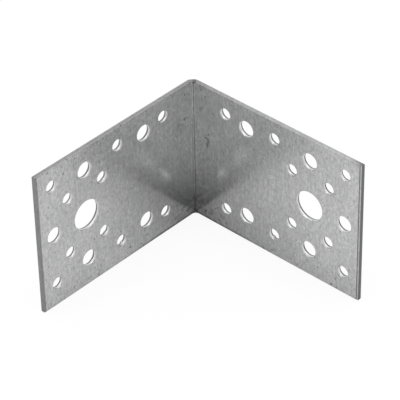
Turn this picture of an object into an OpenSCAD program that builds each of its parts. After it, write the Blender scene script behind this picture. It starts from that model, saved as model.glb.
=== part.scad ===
/* [Sheet] */
// Length of each leg, from the outside of the fold to the leg's end
leg_length = 88; // [80:1:120]
// Height of the bracket, along the fold
height = 65; // [60:1:110]
// Thickness of the sheet
sheet_t = 1.8; // [1:0.1:3]
// Inside radius of the fold
fold_r = 0.4; // [0.2:0.1:4]
// Outside radius of the fold
fold_outer_r = 2.8; // [1:0.1:4.5]

/* [Sheared and punched edges] */
// Width of the rounding that the shears leave on the inside edge of each leg's end
shear_round_w = 0.95; // [0.6:0.05:1.4]
// Depth of that rounding into the sheet
shear_round_depth = 0.35; // [0.1:0.05:0.5]
// Radius that the punch leaves round each hole, on the inside of the angle
punch_round_r = 0.3; // [0.1:0.05:0.5]

/* [Hole diameters] */
// Small nail and wood screw holes
nail_hole_d = 5; // [3:0.5:6]
// Medium screw holes
screw_hole_d = 7; // [5:0.5:8]
// Large anchor bolt hole
anchor_hole_d = 13; // [9:0.5:14]

/* [Distance of each column of holes from the leg's end] */
// Nail holes and the screw hole next to the end
end_column = 8; // [6:0.5:9]
// Pair of nail holes on the end side of the anchor hole
outer_pair_column = 16; // [15.5:0.5:17]
// Anchor hole, with a screw hole above and below it
anchor_column = 25.5; // [25:0.5:26.5]
// Pair of nail holes on the fold side of the anchor hole
inner_pair_column = 34.5; // [34:0.5:36]
// Nail holes in the middle of the leg
middle_column = 43.5; // [42:0.5:50]
// Pair of screw holes near the fold
fold_screw_column = 58; // [54:0.5:61]
// Nail holes nearest to the fold
fold_nail_column = 69; // [67:0.5:72]

/* [Rows of holes] */
// Height of the middle of the hole pattern above the middle of the leg
pattern_raise = 1; // [-2:0.5:2]
// Distance between the outer rows of nail holes
nail_rows_apart = 46.5; // [40:0.5:48]
// Distance between the rows of screw holes
screw_rows_apart = 42.5; // [36:0.5:46]
// Distance between the inner rows of nail holes, beside the anchor hole
pair_rows_apart = 26; // [22:0.5:28]

/* [Hidden] */
$fn = 72;
// How far a cutting tool runs past what it cuts
cut_over = 1;
// Side of the square that holds the whole fold in plan, with a sheet's thickness of each leg
fold_span = max(fold_outer_r, sheet_t + fold_r) + sheet_t;
// Radius of the arc that rounds a sheared edge, from its width and depth
shear_arc_r = (shear_round_w * shear_round_w + shear_round_depth * shear_round_depth)
    / (2 * shear_round_depth);
// Height of the middle of the hole pattern
pattern_z = height / 2 + pattern_raise;
// Holes that come in pairs, one above the other: [column, distance apart, diameter]
hole_pairs = [
    [end_column, nail_rows_apart, nail_hole_d],
    [outer_pair_column, pair_rows_apart, nail_hole_d],
    [anchor_column, screw_rows_apart, screw_hole_d],
    [inner_pair_column, pair_rows_apart, nail_hole_d],
    [middle_column, nail_rows_apart, nail_hole_d],
    [fold_screw_column, screw_rows_apart, screw_hole_d],
    [fold_nail_column, nail_rows_apart, nail_hole_d],
];
// Single holes in the middle of the pattern: [column, diameter]
middle_holes = [
    [anchor_column, anchor_hole_d],
    [end_column, screw_hole_d],
];

// What the shears round off at the inside edge of a leg's end, in plan
module shear_rounding() {
    translate([leg_length - shear_round_w, sheet_t - shear_arc_r])
        difference() {
            square([shear_round_w + cut_over, shear_arc_r + cut_over]);
            circle(r = shear_arc_r);
        }
}

// One leg in plan, from the end of the fold to the leg's end
module leg_plan() {
    difference() {
        translate([fold_span, 0])
            square([leg_length - fold_span, sheet_t]);
        shear_rounding();
    }
}

// A square with one side's corner at the origin rounded
module rounded_corner(r, side) {
    translate([r, 0])
        square([side - r, side]);
    translate([0, r])
        square([side, side - r]);
    translate([r, r])
        circle(r = r);
}

// The fold in plan, between the two legs, thinned a little where the sheet is pressed round
module fold_plan() {
    difference() {
        rounded_corner(fold_outer_r, fold_span);
        translate([sheet_t, sheet_t])
            rounded_corner(fold_r, fold_span);
    }
}

// Copies a shape to the other leg, across the plane that halves the fold
module on_both_legs() {
    children();
    mirror([1, -1, 0])
        children();
}

// Widening of a hole's mouth where the punch went in, up from the level of the sheet's face
module punched_mouth(d) {
    rotate_extrude()
        difference() {
            translate([0, -punch_round_r])
                square([d / 2 + punch_round_r, punch_round_r + cut_over]);
            translate([d / 2 + punch_round_r, -punch_round_r])
                circle(r = punch_round_r);
        }
}

// A punched hole through the leg along X, at a distance from its end and a height
module hole(column, z, d) {
    translate([leg_length - column, 0, z])
        rotate([-90, 0, 0]) {
            translate([0, 0, -cut_over])
                cylinder(d = d, h = sheet_t + 2 * cut_over);
            translate([0, 0, sheet_t])
                punched_mouth(d);
        }
}

// Every hole of one leg
module leg_holes() {
    for (pair = hole_pairs)
        for (side = [-1, 1])
            hole(pair[0], pattern_z + side * pair[1] / 2, pair[2]);
    for (single = middle_holes)
        hole(single[0], pattern_z, single[1]);
}

// The whole bracket: one folded sheet, standing on its lower edges
module bracket() {
    color([0.66, 0.67, 0.67])
        translate([-leg_length / 2, -leg_length / 2, 0])
            difference() {
                linear_extrude(height)
                    union() {
                        fold_plan();
                        on_both_legs()
                            leg_plan();
                    }
                on_both_legs()
                    leg_holes();
            }
}

bracket();
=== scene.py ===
"""A corner brace bracket of galvanised sheet: one strip, folded once, with punched holes."""

from types import SimpleNamespace

import bpy
import numpy as np
from mathutils import Matrix, Vector
from mathutils.geometry import delaunay_2d_cdt


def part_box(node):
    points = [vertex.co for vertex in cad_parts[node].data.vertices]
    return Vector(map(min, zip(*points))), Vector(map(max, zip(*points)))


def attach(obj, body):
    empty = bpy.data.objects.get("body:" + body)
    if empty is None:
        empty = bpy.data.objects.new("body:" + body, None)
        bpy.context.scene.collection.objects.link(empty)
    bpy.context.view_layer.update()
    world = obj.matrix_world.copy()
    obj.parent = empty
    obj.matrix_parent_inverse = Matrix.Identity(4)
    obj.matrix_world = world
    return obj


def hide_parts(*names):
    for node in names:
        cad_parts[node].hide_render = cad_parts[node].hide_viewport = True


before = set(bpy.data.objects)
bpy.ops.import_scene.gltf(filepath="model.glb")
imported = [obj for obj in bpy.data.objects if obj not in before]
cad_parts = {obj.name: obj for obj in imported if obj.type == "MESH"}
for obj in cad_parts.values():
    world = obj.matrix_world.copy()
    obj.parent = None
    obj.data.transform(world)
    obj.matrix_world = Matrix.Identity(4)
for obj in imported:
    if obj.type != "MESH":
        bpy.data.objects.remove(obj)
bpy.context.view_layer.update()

# Sheet sizes in millimetres, as in the part's source
MM = 0.001
low, high = (np.array(corner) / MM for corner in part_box("bracket"))
LEG_LENGTH = high[0] - low[0]
HEIGHT = high[2] - low[2]
SHEET_T = 1.8
FOLD_R, FOLD_OUTER_R = 0.4, 2.8
PATTERN_RAISE = 1.0
PATTERN_Z = HEIGHT / 2 + PATTERN_RAISE

# Holes of one leg: distance from the leg's end, distance from the middle row, diameter
NAIL_D, SCREW_D, ANCHOR_D = 5.0, 7.0, 13.0
NAIL_ROW, SCREW_ROW, PAIR_ROW = 23.25, 21.25, 13.0
HOLE_PAIRS = [
    (8.0, NAIL_ROW, NAIL_D),
    (16.0, PAIR_ROW, NAIL_D),
    (25.5, SCREW_ROW, SCREW_D),
    (34.5, PAIR_ROW, NAIL_D),
    (43.5, NAIL_ROW, NAIL_D),
    (58.0, SCREW_ROW, SCREW_D),
    (69.0, NAIL_ROW, NAIL_D),
]
MIDDLE_HOLES = [(8.0, 0.0, SCREW_D), (25.5, 0.0, ANCHOR_D)]

# Direction from the fold's axis to its middle, and half of the angle it turns through, in degrees
FOLD_MIDDLE, HALF_TURN = 225.0, 45.0
# The fold's zone reaches this far from the outside of the fold, and this share of it is bent
FOLD_REACH = 4.2
BENT = 0.85
# At the sheet's two long edges the fold swells inside and draws in outside: what is added to the
# inside radius, how far the outer edge is drawn in, over what height both die away, and how far
# from the fold's middle the drawing-in does
SWELL, DRAWN_IN, SWELL_REACH, DRAW_REACH = 1.6, 0.3, 0.7, 2.4

# Width and depth of the rounding at the sheared ends and along the slit edges
END_ROUND = (0.95, 0.35)
SLIT_ROUND = (0.25, 0.14)
# Rows on such a rounding, and how much of its width they cover
ROUND_ROWS, ROUND_COVER = 7, 0.93
# Of a cut: how far it leans in at its two ends, the blend under its rounding, its middle's depth
CUT_LEAN, CUT_BLEND, CUT_MIDDLE = 0.02, 0.06, 1.1
# Radius of the ends' corners, of the outer face's edges, and width of the flat rim at each edge
CORNER_R = 0.3
BURR_R = 0.09
RIM = 0.25
# Steps round an end's corner, round the outer face's edges and round a hole's mouth
CORNER_STEPS, BURR_STEPS, MOUTH_STEPS = 5, 3, 6

# How dull the cuts are, where one is as dull as torn steel: the roundings at the ends of the legs
# along x and y, from the inner face outwards, then the cuts at those ends, and then the slit edges
# at some distances from the fold, which are negative along y
ROUND_DULL = [(0.5, 0.7, 0.7, 0.7, 0.7, 0.7, 0.7), (1.08, 1.0, 0.45, 0.12, 0.12, 0.5, 1.0)]
END_DULL = (0.77, 0.95)
SLIT_DULL = [(-LEG_LENGTH, 0.25), (-44, 0.41), (-12, 0.5), (0, 0.72), (12, 0.58), (44, 0.66),
             (LEG_LENGTH, 0.61)]
# What the slit edges' dullness is multiplied by at the inner face and at the outer one
SLIT_SLOPE = (1.13, 0.75)
# How dull the small roundings along the lower and the upper slit edge are, where the lower one's
# darkness is partly painted shade
SLIT_ROUND_DULL_AND_SHADE = (0.3, 0.2)
# Share of a cut's dullness that the small round at the outer face has, and the same for a hole
CUT_BURR_DULL, HOLE_BURR_DULL = 0.7, 0.5

# What the punch leaves: radius of a hole's mouth, depth where the wall tears, flare of the tear,
# the step back at its start, and the height of the blends between the bands
PUNCH_R = 0.3
TEAR_DEPTH = 1.05
TEAR_FLARE, TEAR_STEP = 0.13, 0.015
BAND_BLEND = 0.05
# How burnished the mouth is, and from which angle of its quarter round, in radians
MOUTH_SHINE, MOUTH_SHINE_FROM = 0.7, 1.2
# How unevenly the tear starts, in how many waves round the hole, and how far these may be turned,
# in radians, with the seed of their random draws
TEAR_WANDER, TEAR_WAVES, WAVE_SHIFT = 0.04, (1, 2, 3), 6
SEED = 7
# How much less deep the tear starts in the leg along x, at the fold, and how far that reaches
TEAR_RISE, TEAR_RISE_REACH = 0.25, 45.0
# Painted highlight on the band that the punch burnishes: where round a hole's wall it is
# brightest, in the legs along x and y, from straight down towards the fold, how wide it is, in
# degrees, and how bright the band is elsewhere
STRAIGHT_DOWN = 270.0
HIGHLIGHT_TURN, HIGHLIGHT_WIDTH, HIGHLIGHT_REST = (33.0, 29.0), 24.0, 0.1
# How dull the torn bands of the holes are, at some distances from the fold
TORN_DULL = [(-LEG_LENGTH, 1.0), (0, 1.0), (1, 0.85), (30, 0.85), (LEG_LENGTH, 0.93)]
# Height of the burr left on the torn band, for some places in the list of holes, then how far it
# lies from the brightest place, towards straight down, and how wide it is, in radians
BURR_HOLES = {6: 0.4, 7: 0.4, 8: 0.75, 24: 0.75}
BURR_TURN, BURR_WIDTH = 0.12, 0.2
# Points round a small hole and round the anchor hole
HOLE_TURNS, ANCHOR_TURNS = 48, 72

# Lines that go up the bent zone, rows of points up the sheet, and spacing of the points that fill
# the flat faces
FOLD_LINES, UP_ROWS, FILL_STEP = 17, 16, 4.0
# Gaps that these points keep to the fold's zone, to the long edges and ends, to the holes' walls,
# and of the outermost row to the long edges
FOLD_GAP, EDGE_GAP, HOLE_GAP, EDGE_ROW = 2.3, 3.0, 1.4, 1.1
# Height of the lowest row that fills the faces
FILL_START = 5.0
# Points of a face that lie closer than this count as one
SAME_SPOT = 1e-6
# Edges of the mesh that turn by more than this are sharp, in degrees
SHARP = 50


def folded(s, z, depth):
    """Place of points of the sheet, where s is the distance from the outside of the fold.

    s is positive along x and negative along y, and depth is measured from the inner face. Within
    the bent share of the fold's zone the angle round the fold's axis grows evenly with s. The
    radius grows evenly with depth from the inside radius to the outside one, and the axis is
    where an arc of that radius touches both legs at that depth. Past the arc a point moves
    straight on, so that it leaves the zone at its reach, and then along its leg. The swelling at
    the two long edges dies away as an exponential of the height from the edge, and the drawing-in
    of the outer face also as a bell curve of s.
    """
    share = s / FOLD_REACH
    angle = np.radians(FOLD_MIDDLE + HALF_TURN * np.clip(share / BENT, -1, 1))
    part = depth / SHEET_T
    swell = np.exp(-np.minimum(z, HEIGHT - z) / SWELL_REACH)
    radius = FOLD_R + SWELL * swell + (FOLD_OUTER_R - FOLD_R - SWELL * swell) * part
    drawn = DRAWN_IN * swell * part * np.exp(-(s / DRAW_REACH) ** 2)
    z = z + np.sign(HEIGHT / 2 - z) * drawn
    axis = SHEET_T - depth + radius
    straight = (FOLD_REACH - axis) / (1 - BENT)
    ahead, aside = (straight * np.clip(share * way - BENT, 0, 1 - BENT)
                    + np.maximum(s * way - FOLD_REACH, 0) for way in (1, -1))
    x = low[0] + axis + radius * np.cos(angle) + ahead
    y = low[1] + axis + radius * np.sin(angle) + aside
    return np.stack([x, y, z], axis=-1)


def quarter(steps):
    """Angles from nothing to a right angle, in even steps."""
    return np.linspace(0, np.pi / 2, steps + 1)


def outer_round(out, dull):
    """Rows of the small round at the outer face: a quarter circle, then the flat rim."""
    rows = [(out + BURR_R * (1 - np.cos(q)), SHEET_T - BURR_R * (1 - np.sin(q)), dull)
            for q in quarter(BURR_STEPS)[1:]]
    return rows + [(out + BURR_R + RIM, SHEET_T, 0)]


def edge_profile(width, round_depth):
    """Section of a cut edge, as rows of inset, depth and part of the cut.

    From the inner face it follows an arc that falls by the rounding's depth over its width. Then
    come a small blend, the straight cut and the small round at the outer face. The first and last
    rows are the flat rims.
    """
    arc_r = (width ** 2 + round_depth ** 2) / (2 * round_depth)
    run = np.linspace(0, ROUND_COVER, ROUND_ROWS) * width
    fall = arc_r - np.sqrt(arc_r ** 2 - run ** 2)
    rows = [(width + RIM, 0, 0)] + [(width - a, d, 0) for a, d in zip(run, fall)]
    rows += [(CUT_LEAN, round_depth, 1), (0, round_depth + CUT_BLEND, 1), (0, CUT_MIDDLE, 1)]
    rows += [(CUT_LEAN, SHEET_T - BURR_R, 1)] + outer_round(CUT_LEAN, CUT_BURR_DULL)
    return np.array(rows)


def hole_profile():
    """Section of a punched hole's wall, as rows of radius past the hole's, depth, torn, burnished.

    The mouth is a quarter round, the burnished band is straight, and the torn band flares evenly
    towards the outer face, where it ends in a small round.
    """
    rows = [(PUNCH_R + RIM, 0, 0, 0)]
    rows += [(PUNCH_R * (1 - np.sin(q)), PUNCH_R * (1 - np.cos(q)), 0,
              MOUTH_SHINE * (q > MOUTH_SHINE_FROM)) for q in quarter(MOUTH_STEPS)]
    rows += [(0, PUNCH_R + BAND_BLEND, 0, 1), (0, TEAR_DEPTH, 0, 1)]
    rows += [(TEAR_STEP, TEAR_DEPTH + BAND_BLEND, 1, 0), (TEAR_FLARE, SHEET_T - BURR_R, 1, 0)]
    rows += [(*row, 0) for row in outer_round(TEAR_FLARE, HOLE_BURR_DULL)]
    return np.array(rows)


def rim_path(end_inset, slit_inset, along, up):
    """Closed paths round the flat sheet, one row for each pair of insets, as arrays s and z.

    A path runs along the lower edge, up the far end, back along the upper edge and down the near
    end, and each corner is a quarter circle.
    """
    a, b = end_inset[:, None], slit_inset[:, None]
    near, far, lower, upper = a - LEG_LENGTH, LEG_LENGTH - a, b, HEIGHT - b
    r = CORNER_R
    parts = []
    for turn, (s, z, corner_s, corner_z) in enumerate([
            (along, lower, far - r, lower + r), (far, up, far - r, upper - r),
            (along[::-1], upper, near + r, upper - r), (near, up[::-1], near + r, lower + r)]):
        angle = quarter(CORNER_STEPS) + (turn - 1) * np.pi / 2
        parts.append(np.stack(np.broadcast_arrays(s, z)))
        parts.append(np.stack([corner_s + r * np.cos(angle), corner_z + r * np.sin(angle)]))
    return np.concatenate(parts, axis=2)


def rim_grid(along, up):
    """Wall round the sheet's outline, as arrays s, z, depth, burnished and torn.

    Each row follows the outline at its inset. A column that reaches the ends' inner rim or lies
    past it has the ends' section, and the others have the slit edges' section.
    """
    end, slit = edge_profile(*END_ROUND), edge_profile(*SLIT_ROUND)
    s, z = rim_path(end[:, 0], slit[:, 0], along, up)
    at_end = (np.abs(s) > LEG_LENGTH - END_ROUND[0] - RIM - CUT_LEAN / 2).any(axis=0)
    rounding = slice(1, 1 + ROUND_ROWS)
    end_torn = end[:, 2:] * np.where(s > 0, *END_DULL)
    for dull, way in zip(ROUND_DULL, (1, -1)):
        end_torn[rounding] += np.array(dull)[:, None] * (s[rounding] * way > 0)
    slit_torn_and_shade = slit[:, 2:] * np.interp(s, *np.transpose(SLIT_DULL))
    slit_torn_and_shade *= np.interp(slit[:, 1:2], (0, SHEET_T), SLIT_SLOPE)
    # The lower rounding is darkened partly as painted shade
    slit_torn_and_shade[rounding] += np.where(z[rounding] < HEIGHT / 2, *SLIT_ROUND_DULL_AND_SHADE)
    depth = np.where(at_end, end[:, 1:2], slit[:, 1:2])
    return np.stack([s, z, depth, 0 * s, np.where(at_end, end_torn, slit_torn_and_shade)])


def hole_grid(number, s0, z0, d, rng):
    """Wall of one hole, as arrays s, z, depth, burnish_and_highlight and torn.

    Each row is a circle round the hole's middle. The start of the tear wanders in depth by a few
    waves of the angle, and the burnish band's painted highlight and the burr fade as bell curves of
    the angle.
    """
    out, depth, torn, burnish_and_highlight = hole_profile().T[:, :, None]
    turns = HOLE_TURNS if d < ANCHOR_D else ANCHOR_TURNS
    angle = np.linspace(0, 2 * np.pi, turns, endpoint=False)[None, :]
    turned = HIGHLIGHT_TURN[0] if s0 > 0 else -HIGHLIGHT_TURN[1]
    from_brightest = angle - np.radians(STRAIGHT_DOWN - turned)
    bell = np.exp(-(from_brightest / np.radians(HIGHLIGHT_WIDTH)) ** 2)
    lip = np.exp(-((from_brightest - np.sign(s0) * BURR_TURN) / BURR_WIDTH) ** 2)
    burr = BURR_HOLES.get(number, 0) * lip
    wander = sum(rng.normal(0, TEAR_WANDER) * np.cos(k * angle + rng.uniform(0, WAVE_SHIFT))
                 for k in TEAR_WAVES)
    wander = wander - TEAR_RISE * np.exp(-(s0 / TEAR_RISE_REACH) ** 2) * (s0 > 0)
    starts_tear = (depth >= TEAR_DEPTH) & (depth < TEAR_DEPTH + 2 * BAND_BLEND)
    radius = d / 2 + out - burr * ((depth > TEAR_DEPTH) & (depth < SHEET_T))
    return np.stack([s0 + radius * np.cos(angle), z0 + radius * np.sin(angle),
                     depth + wander * starts_tear,
                     # The burnish band is bright round one angle of the wall only: a painted
                     # highlight
                     burnish_and_highlight * (HIGHLIGHT_REST + (1 - HIGHLIGHT_REST) * bell),
                     torn * np.interp(s0, *np.transpose(TORN_DULL)) * (1 - burr)])


def wall_quads(grid, first, facing_in):
    """Quads between the rows of a closed grid, which go from the inner face to the outer one."""
    index = first + np.arange(grid[0].size).reshape(grid[0].shape)
    here, below = index[:-1], index[1:]
    quads = np.stack([here, np.roll(here, -1, 1), np.roll(below, -1, 1), below], axis=-1)
    quads = quads.reshape(-1, 4)
    return quads[:, ::-1] if facing_in else quads


def face_triangles(points, chains, rings, fill):
    """Triangles that fill one face of the flat sheet between its outline and its holes.

    chains are rows of point numbers that the triangles' sides keep to, and rings gives each
    point's hole, or -1. Triangles with all their corners on one hole's rim lie in the hole, so
    they go.
    """
    used = np.unique(np.concatenate([np.ravel(c) for c in chains] + [fill]))
    place = np.full(len(points), -1)
    place[used] = np.arange(len(used))
    edges = np.concatenate([np.stack([c[:-1], c[1:]], axis=1) for c in chains])
    spots = [Vector(p) for p in points[used]]
    found = delaunay_2d_cdt(spots, place[edges].tolist(), [], 0, SAME_SPOT)
    first = np.array([origin[0] for origin in found[3]])
    triangles = used[first[np.array(found[2])]]
    hole = rings[triangles]
    inside = (hole[:, 0] >= 0) & (hole == hole[:, :1]).all(axis=1)
    triangles = triangles[~inside]
    a, b, c = (points[triangles[:, k]] for k in range(3))
    turn = np.cross(b - a, c - a)
    triangles[turn < 0] = triangles[turn < 0][:, ::-1]
    return triangles


def sheet_holes():
    """Middles and diameters of all the holes of the flat sheet, as rows s, z and diameter."""
    leg = [(c, side * row, d) for c, row, d in HOLE_PAIRS for side in (-1, 1)] + MIDDLE_HOLES
    column, row, diameter = np.array(leg).T
    s = np.concatenate([LEG_LENGTH - column, column - LEG_LENGTH])
    return np.stack([s, np.tile(PATTERN_Z + row, 2), np.tile(diameter, 2)])


def face_points(in_fold, in_leg, up, holes):
    """Points that lie in the faces: on every line of the fold, then spread over both legs."""
    fold = np.stack(np.meshgrid(in_fold, up, indexing="ij")).reshape(2, -1)
    rows = np.arange(FILL_START, HEIGHT - EDGE_GAP, FILL_STEP)
    legs = np.stack(np.meshgrid(np.concatenate([-in_leg, in_leg]), rows)).reshape(2, -1)
    away = np.hypot(*(legs[:, :, None] - holes[:2, None]))
    keep = (away > holes[2] / 2 + HOLE_GAP).all(axis=1)
    return np.concatenate([fold, legs[:, keep]], axis=1)


def sheet_lines():
    """Distances s of the lines in the fold's zone and in one leg, and heights of the rows."""
    bent = FOLD_REACH * BENT
    in_fold = np.concatenate([[-FOLD_REACH], bent * np.linspace(-1, 1, FOLD_LINES), [FOLD_REACH]])
    in_leg = np.arange(FOLD_REACH + FOLD_GAP, LEG_LENGTH - EDGE_GAP, FILL_STEP)
    up = np.concatenate([[EDGE_ROW], np.linspace(EDGE_GAP, HEIGHT - EDGE_GAP, UP_ROWS),
                         [HEIGHT - EDGE_ROW]])
    return in_fold, in_leg, up


def fold_chains(rim, lines, count):
    """Rows of point numbers that go up the fold, each from the rim's lower side to its upper one.

    count is how many points the rim has along each long side. The lower side starts the rim, the
    upper one starts half of the way round it and runs back, and the fold is in their middle.
    """
    half, leg = len(rim) // 2, (count - len(lines)) // 2
    lower, upper = (rim[start + leg:start + count - leg] for start in (0, half))
    return list(np.column_stack([lower, lines, upper[::-1]]))


def sheet_parts():
    """The flat sheet, as its points' values s, z, depth, burnish_and_highlight and torn, and its
    faces.

    The walls of the outline and the holes are grids, and both faces share one set of points in
    the flat. The triangles' sides keep to the rims and to the lines that go up the fold.
    """
    rng = np.random.default_rng(SEED)
    in_fold, in_leg, up = sheet_lines()
    along = np.concatenate([-in_leg[::-1], in_fold, in_leg])
    holes = sheet_holes()
    grids = [rim_grid(along, up)]
    grids += [hole_grid(number, *hole, rng) for number, hole in enumerate(holes.T)]
    starts = np.cumsum([0] + [grid[0].size for grid in grids])
    faces = [wall_quads(grid, first, k > 0) for k, (grid, first) in enumerate(zip(grids, starts))]
    faces = np.concatenate(faces).tolist()

    extra = face_points(in_fold, in_leg, up, holes)
    count = extra.shape[1]
    flats = [np.concatenate([extra, np.full((1, count), depth), np.zeros((2, count))])
             for depth in (0, SHEET_T)]
    values = np.concatenate([grid.reshape(5, -1) for grid in grids] + flats, axis=1)
    for side, first in ((0, starts[-1]), (-1, starts[-1] + count)):
        loops = [start + np.arange(grid[0].size).reshape(grid[0].shape)[side]
                 for start, grid in zip(starts, grids)]
        fill = first + np.arange(count)
        lines = fill[:len(in_fold) * len(up)].reshape(len(in_fold), len(up))
        chains = [np.append(loop, loop[0]) for loop in loops]
        chains += fold_chains(loops[0], lines, len(along))
        rings = np.full(values.shape[1], -1)
        for k, loop in enumerate(loops[1:]):
            rings[loop] = k
        found = face_triangles(values[:2].T, chains, rings, fill)
        faces += (found[:, ::-1] if side == 0 else found).tolist()
    return values, faces


def bracket_sheet():
    """The whole bracket as one closed mesh, worked out flat and then folded."""
    (s, z, depth, burnish_and_highlight, torn), faces = sheet_parts()
    mesh = bpy.data.meshes.new("bracket_sheet")
    mesh.from_pydata((folded(s, z, depth) * MM).tolist(), [], faces)
    for name, values in (("burnish_and_highlight", burnish_and_highlight), ("torn", torn)):
        mesh.attributes.new(name, "FLOAT", "POINT").data.foreach_set("value", values.astype("f4"))
    mesh.polygons.foreach_set("use_smooth", [True] * len(mesh.polygons))
    mesh.set_sharp_from_angle(angle=np.radians(SHARP))
    mesh.validate()
    piece = bpy.data.objects.new("bracket_sheet", mesh)
    bpy.context.scene.collection.objects.link(piece)
    return piece


# Colours of the zinc skin, of the band that the punch burnishes, with its painted highlight, of
# torn steel, of the dirt of the marks, and of the dark line in the crease, which is partly painted
# shade
ZINC = (0.553, 0.558, 0.555)
BURNISH_AND_HIGHLIGHT = (0.88, 0.88, 0.87, 1)
TORN = (0.145, 0.145, 0.145, 1)
DIRT_AND_SHADE = (0.07, 0.07, 0.07, 1)
# Dark marks on the inner faces: middle and radii of each, in millimetres
MARKS = [((-42.2, -34.2, 39.2), (1, 0.6, 1.3)), ((-42.2, -34.8, 37.2), (1, 0.7, 1.1)),
         ((-42.2, -35.3, 40.4), (1, 1.1, 0.5)), ((-42.2, -34.1, 42.6), (1, 0.5, 0.7)),
         ((-37.3, -42.2, 49.1), (0.8, 1, 0.8))]

# Noises of the skin: stretch along each axis, scale for millimetres, detail and roughness
NOISES = {
    "grain": ((1, 1, 0.6), 0.9, 3, 0.65),
    "blotch": ((1, 1, 0.7), 0.4, 3, 0.6),
    "streak": ((1, 1, 0.04), 1.2, 4, 0.7),
    "mottle": ((1, 1, 0.8), 0.16, 4, 0.6),
    "cloud": ((1, 1, 1), 0.04, 2, 0.55),
    "fine": ((1, 1, 0.3), 4.0, 3, 0.55),
    "crumbs": ((1, 1, 0.8), 0.75, 2.5, 0.6),
    "patches": ((1, 1, 0.9), 0.5, 3, 0.7),
}
# How strongly noises change the skin's brightness, and how much specks and grime take off it
TONE_AMOUNTS = {"grain": 1.0, "blotch": 0.35, "streak": 0.43, "mottle": 0.2, "cloud": 0.12}
SPECK_DARK, GRIME_DARK = 0.46, 0.58
# How much patterns add to the roughness, and the heights that they add to the bump
ROUGH_AMOUNTS = {"blotch": 0.08, "mottle": 0.06, "speck": 0.25, "burnish_and_highlight": -0.05, "torn": 0.3}
BUMP_AMOUNTS = {"grain": 0.6, "fine": 0.4, "speck": -0.5}
# Strength of the bump, and its depth in millimetres where the height is one
BUMP_STRENGTH, BUMP_DEPTH = 0.25, 0.03

# Each change below is given as the two inputs between which it happens, and its value at each.
# Painted shade in the skin's brightness: by the distance from the foot of the fold, by the
# distance from the crease, and from the leg along y to the one along x, which is painted darker
CORNER_PAINTED_SHADE = (5, 24, 0.92, 1)
CREASE_PAINTED_SHADE = (0, 28, 0.91, 1)
LEG_PAINTED_SHADE = (-25, 25, 1.02, 0.98)
# Roughness by the distance from the crease, and what is added to it near the foot of the fold
SKIN_ROUGH = (14, 46, 0.12, 0.20)
FOOT_ROUGH = (8, 24, 0.22, 0)
# What lifts the crumbs near the lower and the upper edge, how much the mottling does, and the
# crumbs' values between which a speck starts
LOWER_CRUMBS = (2, 20, 0.055, 0)
UPPER_CRUMBS = (HEIGHT - 10, HEIGHT - 3, 0, 0.05)
MOTTLE_CRUMBS = 0.1
SPECK = (0.735, 0.795, 0, 1)
# What lifts the patches near the foot of the fold, and the values between which a smudge starts
FOOT_PATCHES = (10, 38, 0.06, -0.12)
SMUDGE = (0.52, 0.66, 0, 0.6)
# The dark line at the lower edge: by height, by distance from the foot, and by patches
LINE_HEIGHT = (0.5, 1.6, 1, 0)
LINE_REACH = (14, 50, 1, 0.1)
LINE_PATCHES = (0.35, 0.55, 0.6, 1.1)
# The dark line in the crease, partly painted shade: its edge by the distance from the crease,
# what widens it by height at its two ends, and the side that it keeps to, which shifts near the
# foot
CREASE_EDGE = (0.35, 0.7, 1, 0)
CREASE_FOOT = (0, 1.8, 1.2, 0)
CREASE_TOP = (HEIGHT - 2, HEIGHT, 0, 1)
CREASE_SIDE = (-0.15, 0.25, 1, 0)
CREASE_SHIFT = (2, 12, 1, 0)
# Its strength by height and by patches
CREASE_RISE = (1, 4, 1, 0.8)
CREASE_PATCHES = (0.3, 0.6, 0.7, 1)
# The edge of a mark, by the distance from its middle as a share of its radii, less the grain
MARK_EDGE = (-0.5, 0.3, 0.6, 0)
MARK_GRAIN = 2.0
# How much heights count in the distance from the foot, for grime and for the painted shade
GRIME_SQUEEZE, CORNER_SHADE_SQUEEZE = 2.5, 0.8

# Brightness of the floor, and of what the metal reflects of it by the distance from the foot of
# the fold, in metres, and how that distance is squeezed along each axis
FLOOR_WHITE = 0.85
POOL_SHADE = (0.005, 0.065, 0.59, 0.88)
POOL_SQUEEZE = (1.15, 0.93, 0)
# Radii along x and y of the ellipse of shade at the foot of the leg along y, in metres, and the
# reflected brightness from its middle to its edge
STRIP_SIZE = (0.024, 0.08)
STRIP_SHADE = (0, 1, 0.86, 1)
# Both end just behind the legs: the brightness there, by how far behind a leg the floor is
BEHIND_SHADE = (-0.003, 0, 1, 0)
# Share of the floor's white that shines by itself, for each kind of ray
FLOOR_SHINE = {"Is Camera Ray": 0.88, "Is Glossy Ray": 0.25, "Is Transmission Ray": 0.8}
# Half the floor's side and how far it lies under the bracket, in metres
FLOOR_HALF, FLOOR_DROP = 4.0, 0.00005
# Side, height and power of the lamp, in metres and watts
LAMP_SIZE, LAMP_HEIGHT, LAMP_POWER = 0.7, 1.2, 5.0


def new_node(tree, kind, inputs=None, **settings):
    """Adds a node, sets it up, and gives its inputs values or links them to other outputs."""
    made = tree.nodes.new(kind)
    for name, value in settings.items():
        setattr(made, name, value)
    for name, value in (inputs or {}).items():
        if isinstance(value, bpy.types.NodeSocket):
            tree.links.new(value, made.inputs[name])
        else:
            made.inputs[name].default_value = value
    return made


def math(tree, operation, *values):
    """Result of one sum on numbers or outputs."""
    return new_node(tree, "ShaderNodeMath", dict(enumerate(values)), operation=operation).outputs[0]


def product(tree, first, *others):
    """Product of numbers or outputs."""
    for other in others:
        first = math(tree, "MULTIPLY", first, other)
    return first


def add_up(tree, total, amounts, values):
    """Adds to a number or output the named values, each times its amount."""
    for name, amount in amounts.items():
        total = math(tree, "MULTIPLY_ADD", values[name], amount, total)
    return total


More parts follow.
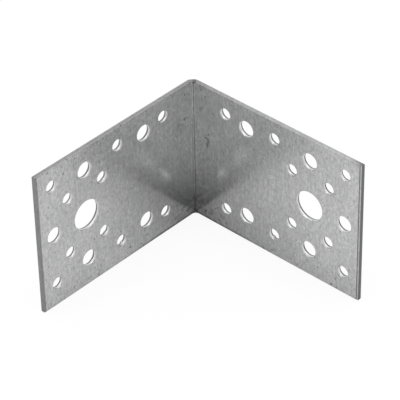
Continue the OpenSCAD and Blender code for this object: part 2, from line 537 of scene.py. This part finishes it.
def step(tree, value, start, end, low_value, high_value):
    """Smooth change from one value to another while the input goes from start to end."""
    return new_node(tree, "ShaderNodeMapRange",
                    {"Value": value, "From Min": start, "From Max": end, "To Min": low_value,
                     "To Max": high_value}, interpolation_type="SMOOTHSTEP").outputs[0]


def measured(tree, place, centre, scale):
    """Place measured from a centre and stretched by the three factors."""
    shift = [-middle * factor for middle, factor in zip(centre, scale)]
    return new_node(tree, "ShaderNodeMapping",
                    {"Vector": place, "Location": shift, "Scale": scale}).outputs[0]


def distance(tree, place, centre, scale):
    """Distance of a place from a centre, where each axis is stretched by its factor."""
    away = measured(tree, place, centre, scale)
    return new_node(tree, "ShaderNodeVectorMath", {0: away}, operation="LENGTH").outputs["Value"]


def axes(tree, place):
    """The three coordinates of a place."""
    return new_node(tree, "ShaderNodeSeparateXYZ", {0: place}).outputs


def noise(tree, place, stretch, scale, detail, rough):
    """Noise from nothing to one, stretched by the three factors."""
    spot = measured(tree, place, (0, 0, 0), stretch)
    return new_node(tree, "ShaderNodeTexNoise", {"Vector": spot, "Scale": scale, "Detail": detail,
                                                 "Roughness": rough}).outputs[0]


def blend(tree, factor, first, second):
    """Mix of two colours, whose sockets on the node come after the ones for numbers and vectors."""
    made = new_node(tree, "ShaderNodeMix", data_type="RGBA")
    for socket, value in zip((made.inputs[0], made.inputs[6], made.inputs[7]),
                             (factor, first, second)):
        if isinstance(value, bpy.types.NodeSocket):
            tree.links.new(value, socket)
        else:
            socket.default_value = value
    return made.outputs[2]


def skin_places(tree):
    """Where a point of the skin lies, in millimetres, and the noises there.

    foot and corner are distances from the foot of the fold, crease is the distance from the inside
    of the fold, and across grows from the leg along y to the one along x.
    """
    metres = new_node(tree, "ShaderNodeTexCoord").outputs["Object"]
    place = measured(tree, metres, (0, 0, 0), (1 / MM, 1 / MM, 1 / MM))
    heel = (low[0], low[1], 0)
    inside = (low[0] + SHEET_T, low[1] + SHEET_T, 0)
    beside = axes(tree, measured(tree, place, inside, (1, 1, 0)))
    return SimpleNamespace(
        place=place,
        height=axes(tree, place)["Z"],
        foot=distance(tree, place, heel, (1, 1, GRIME_SQUEEZE)),
        corner=distance(tree, place, heel, (1, 1, CORNER_SHADE_SQUEEZE)),
        crease=distance(tree, place, inside, (1, 1, 0)),
        across=math(tree, "SUBTRACT", beside["X"], beside["Y"]),
        noises={name: noise(tree, place, *look) for name, look in NOISES.items()})


def specks(tree, at):
    """Small dark specks, closer together near the lower and the upper edge."""
    crumbs = math(tree, "ADD", at.noises["crumbs"], step(tree, at.height, *LOWER_CRUMBS))
    crumbs = math(tree, "ADD", crumbs, step(tree, at.height, *UPPER_CRUMBS))
    crumbs = math(tree, "MULTIPLY_ADD", at.noises["mottle"], MOTTLE_CRUMBS, crumbs)
    return step(tree, crumbs, *SPECK)


def grime(tree, at):
    """Dirt: smudges near the foot of the fold and a thin line along the lower edge."""
    patches = at.noises["patches"]
    smudge = step(tree, math(tree, "ADD", patches, step(tree, at.foot, *FOOT_PATCHES)), *SMUDGE)
    line = product(tree, step(tree, at.height, *LINE_HEIGHT), step(tree, at.foot, *LINE_REACH),
                   step(tree, patches, *LINE_PATCHES))
    return math(tree, "MAXIMUM", smudge, line)


def crease_line(tree, at):
    """Dark line in the crease, which keeps to the leg along y and widens at its ends.

    It is partly the press's marks and partly painted shade of the crease.
    """
    widening = math(tree, "ADD", step(tree, at.height, *CREASE_FOOT),
                    step(tree, at.height, *CREASE_TOP))
    away = math(tree, "SUBTRACT", at.crease, widening)
    side = math(tree, "SUBTRACT", at.across, step(tree, at.height, *CREASE_SHIFT))
    return product(tree, step(tree, away, *CREASE_EDGE), step(tree, side, *CREASE_SIDE),
                   step(tree, at.height, *CREASE_RISE),
                   step(tree, at.noises["patches"], *CREASE_PATCHES))


def zinc_skin(tree, at, speck):
    """Colour of the zinc with its noises, specks, grime, crease line, marks and painted shade.

    The shade is painted near the foot of the fold, near the crease and on the leg along x, and the
    crease line is partly painted shade.
    """
    shades = [math(tree, "MULTIPLY_ADD", at.noises[name], amount, 1 - amount / 2)
              for name, amount in TONE_AMOUNTS.items()]
    # Painted shade near the foot of the fold, near the crease and on the leg along x
    tone = product(tree, step(tree, at.corner, *CORNER_PAINTED_SHADE),
                   step(tree, at.crease, *CREASE_PAINTED_SHADE), step(tree, at.across, *LEG_PAINTED_SHADE), *shades,
                   math(tree, "MULTIPLY_ADD", speck, -SPECK_DARK, 1.0),
                   math(tree, "MULTIPLY_ADD", grime(tree, at), -GRIME_DARK, 1.0))
    zinc = new_node(tree, "ShaderNodeVectorMath", {0: ZINC, "Scale": tone},
                    operation="SCALE").outputs[0]
    # The crease's dark line, partly painted shade
    zinc = blend(tree, crease_line(tree, at), zinc, DIRT_AND_SHADE)
    for middle, radii in MARKS:
        away = distance(tree, at.place, middle, [1 / radius for radius in radii])
        away = math(tree, "MULTIPLY_ADD", at.noises["grain"], -MARK_GRAIN, away)
        zinc = blend(tree, step(tree, away, *MARK_EDGE), zinc, DIRT_AND_SHADE)
    return zinc


def galvanised_steel():
    """Zinc skin with fine rolled streaks, mottling and specks, and bare steel where it was cut."""
    material = bpy.data.materials.new("galvanised_steel")
    material.use_nodes = True
    tree = material.node_tree
    shader = tree.nodes["Principled BSDF"]
    shader.inputs["Metallic"].default_value = 1.0
    at = skin_places(tree)
    patterns = dict(at.noises, speck=specks(tree, at))
    for name in ("burnish_and_highlight", "torn"):
        attribute = new_node(tree, "ShaderNodeAttribute", attribute_name=name)
        patterns[name] = attribute.outputs["Fac"]

    colour = zinc_skin(tree, at, patterns["speck"])
    # The burnish band, with its painted highlight on the holes' walls
    colour = blend(tree, patterns["burnish_and_highlight"], colour, BURNISH_AND_HIGHLIGHT)
    colour = blend(tree, patterns["torn"], colour, TORN)
    tree.links.new(colour, shader.inputs["Base Color"])

    rough = math(tree, "ADD", step(tree, at.crease, *SKIN_ROUGH), step(tree, at.foot, *FOOT_ROUGH))
    tree.links.new(add_up(tree, rough, ROUGH_AMOUNTS, patterns), shader.inputs["Roughness"])

    bump = new_node(tree, "ShaderNodeBump", {
        "Height": add_up(tree, 0.0, BUMP_AMOUNTS, patterns), "Strength": BUMP_STRENGTH,
        "Distance": BUMP_DEPTH * MM}).outputs[0]
    tree.links.new(bump, shader.inputs["Normal"])
    return material


def reflected_shade(tree):
    """Brightness of the floor as the metal reflects it.

    It is darker near the foot of the fold, where the floor between the legs gets the least light,
    and in an ellipse along the foot of the leg along y, but not behind the legs.
    """
    spot = new_node(tree, "ShaderNodeTexCoord").outputs["Object"]
    heel = [edge * MM for edge in low]
    pool = step(tree, distance(tree, spot, heel, POOL_SQUEEZE), *POOL_SHADE)
    strip_scale = (1 / STRIP_SIZE[0], 1 / STRIP_SIZE[1], 0)
    strip = step(tree, distance(tree, spot, (heel[0], 0, 0), strip_scale), *STRIP_SHADE)
    beside = axes(tree, measured(tree, spot, heel, POOL_SQUEEZE))
    nearest = math(tree, "MINIMUM", beside["X"], beside["Y"])
    return math(tree, "MAXIMUM", product(tree, pool, strip), step(tree, nearest, *BEHIND_SHADE))


def floor_white():
    """White floor, where most of what the camera sees shines by itself, so shadows are faint.

    Gloss sees more of the shadows, and the reflected shade as well, which the camera doesn't see.
    """
    material = bpy.data.materials.new("floor_white")
    material.use_nodes = True
    tree = material.node_tree
    tree.nodes.clear()
    path = new_node(tree, "ShaderNodeLightPath").outputs
    shade = math(tree, "MAXIMUM", reflected_shade(tree), path["Is Camera Ray"])
    grey = math(tree, "MULTIPLY", shade, FLOOR_WHITE)
    matt = new_node(tree, "ShaderNodeBsdfDiffuse", {"Color": grey}).outputs[0]
    light = new_node(tree, "ShaderNodeEmission", {"Color": shade, "Strength": 1.0}).outputs[0]
    share = add_up(tree, 0.0, FLOOR_SHINE, path)
    mixed = new_node(tree, "ShaderNodeMixShader", {0: share, 1: matt, 2: light}).outputs[0]
    new_node(tree, "ShaderNodeOutputMaterial", {"Surface": mixed})
    return material


def studio_floor():
    """Plain pale floor, a wide square just under the bracket."""
    corners = [(x * FLOOR_HALF, y * FLOOR_HALF, -FLOOR_DROP)
               for x, y in ((-1, -1), (1, -1), (1, 1), (-1, 1))]
    mesh = bpy.data.meshes.new("floor")
    mesh.from_pydata(corners, [], [(0, 1, 2, 3)])
    mesh.materials.append(floor_white())
    floor = bpy.data.objects.new("floor", mesh)
    bpy.context.scene.collection.objects.link(floor)


def studio_light():
    """White room light from all round, with one wide soft lamp above."""
    world = bpy.data.worlds.new("studio")
    bpy.context.scene.world = world
    world.use_nodes = True
    world.node_tree.nodes["Background"].inputs["Color"].default_value = (1, 1, 1, 1)
    world.node_tree.nodes["Background"].inputs["Strength"].default_value = 1.0
    lamp = bpy.data.lights.new("soft_lamp", "AREA")
    lamp.shape, lamp.size = "SQUARE", LAMP_SIZE
    lamp.energy = LAMP_POWER
    soft = bpy.data.objects.new("soft_lamp", lamp)
    soft.location = (0, 0, LAMP_HEIGHT)
    bpy.context.scene.collection.objects.link(soft)


# The camera stands at the photograph's angle: angles in degrees, distances in millimetres
CAMERA_AZIMUTH, CAMERA_ELEVATION, CAMERA_ROLL = 133.4537, 37.1485, -1.2523
CAMERA_DEPTH = 934.43
# Side of the frame, focal length and place of the fold's outer middle, in pixels of the frame
FRAME_PX = 400
FOCUS_PX = 2322.92
HEEL_PX = (193.7323, 143.8606)
# Width of the sensor in millimetres, and how far the camera sees, in metres
SENSOR, SIGHT = 36.0, 100


def studio_camera():
    """Camera placed so that the fold's outer middle falls on its point of the frame.

    Its three axes come from the angles, and it stands back from the fold's outer middle by the
    depth, moved aside and up by that point's distance from the middle of the frame.
    """
    azimuth, elevation, roll = np.radians([CAMERA_AZIMUTH, CAMERA_ELEVATION, CAMERA_ROLL])
    back = np.array([np.sin(azimuth) * np.cos(elevation), -np.cos(azimuth) * np.cos(elevation),
                     np.sin(elevation)])
    level = np.array([np.cos(azimuth), np.sin(azimuth), 0])
    rise = np.cross(back, level)
    right = np.cos(roll) * level + np.sin(roll) * rise
    up = np.cross(back, right)
    aside = (HEEL_PX[0] - FRAME_PX / 2) * CAMERA_DEPTH / FOCUS_PX
    above = (FRAME_PX / 2 - HEEL_PX[1]) * CAMERA_DEPTH / FOCUS_PX
    heel = np.array([low[0], low[1], HEIGHT / 2])
    place = heel + CAMERA_DEPTH * back - aside * right - above * up
    lens = bpy.data.cameras.new("camera")
    lens.sensor_width = SENSOR
    lens.lens = FOCUS_PX / FRAME_PX * SENSOR
    lens.clip_end = SIGHT
    camera = bpy.data.objects.new("camera", lens)
    bpy.context.scene.collection.objects.link(camera)
    matrix = np.eye(4)
    matrix[:3, :3] = np.stack([right, up, back], axis=1)
    matrix[:3, 3] = place * MM
    camera.matrix_world = Matrix(matrix.tolist())
    bpy.context.scene.camera = camera


sheet = bracket_sheet()
sheet.data.materials.append(galvanised_steel())
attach(sheet, "root")
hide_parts("bracket")

studio_floor()
studio_light()
studio_camera()
bpy.context.scene.view_settings.view_transform = "Standard"
